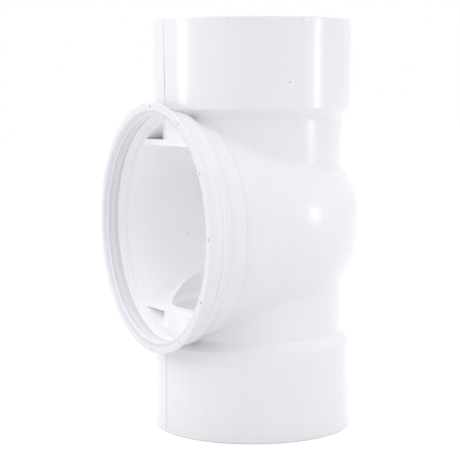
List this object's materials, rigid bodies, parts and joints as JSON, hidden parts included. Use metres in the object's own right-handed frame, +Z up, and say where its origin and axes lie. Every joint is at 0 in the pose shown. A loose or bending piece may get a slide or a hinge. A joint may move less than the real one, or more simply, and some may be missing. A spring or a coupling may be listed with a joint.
{
  "type": "test cleanout tee",
  "caption": "White moulded drain-pipe tee with two glued pipe sockets in line and a wide threaded plug opening for testing and rodding.",
  "frame": {"origin": "centre of the lower socket's mouth, on the pipe run's axis", "axes": "+Z up the pipe run, -Y out of the plug opening, +X across it"},
  "size_m": [0.124, 0.1077, 0.2065],
  "materials": {
    "body_plastic": "smooth moulded white, satin gloss"
  },
  "bodies": {
    "root": {"tee_body": "body_plastic"}
  },
  "joints": []
}
